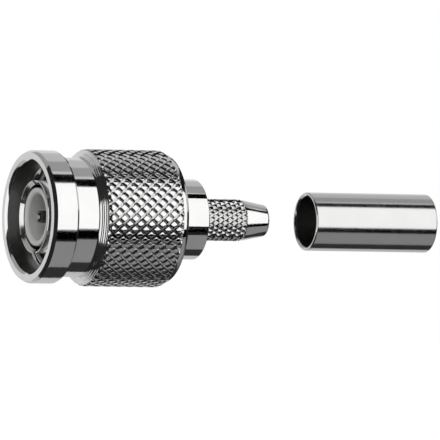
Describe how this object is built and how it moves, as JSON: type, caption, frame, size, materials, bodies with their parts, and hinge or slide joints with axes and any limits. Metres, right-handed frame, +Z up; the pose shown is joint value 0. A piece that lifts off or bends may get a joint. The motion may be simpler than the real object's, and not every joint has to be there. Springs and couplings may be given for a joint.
{
  "type": "tnc connector",
  "caption": "Coaxial cable plug with a knurled screw-on coupling nut, slit outer contact, centre pin, crimp nose and a loose crimp ferrule.",
  "frame": {"origin": "centre of the mating plane, which is the plane of the outer contact's tips", "axes": "X is the connector's axis: the mating face looks towards -X and the cable comes in from +X; +Z is up"},
  "size_m": [0.0478, 0.015, 0.015],
  "materials": {
    "nickel_bright": "bright nickel plate on turned brass",
    "nickel_contact": "nickel plate, fine turned, on spring brass",
    "pin_plate": "pale thin plate on a turned brass pin",
    "ring_steel": "plain spring wire",
    "ptfe": "waxy white turned plastic",
    "seal": "matt silicone rubber"
  },
  "bodies": {
    "plug": {"body": "nickel_bright", "outer_contact": "nickel_contact", "insulator": "ptfe", "center_pin": "pin_plate", "retaining_ring": "ring_steel", "gasket": "seal"},
    "nut": {"coupling_nut": "nickel_bright"},
    "ferrule": {"crimp_ferrule": "nickel_bright"}
  },
  "joints": [
    {"name": "nut_spin", "type": "hinge", "parent": "plug", "child": "nut", "pos_m": [0.0131, 0, 0], "axis": [1, 0, 0], "continuous": true},
    {"name": "ferrule_slide", "type": "slide", "parent": "plug", "child": "ferrule", "axis": [1, 0, 0], "range_m": [-0.01345, 0]}
  ]
}
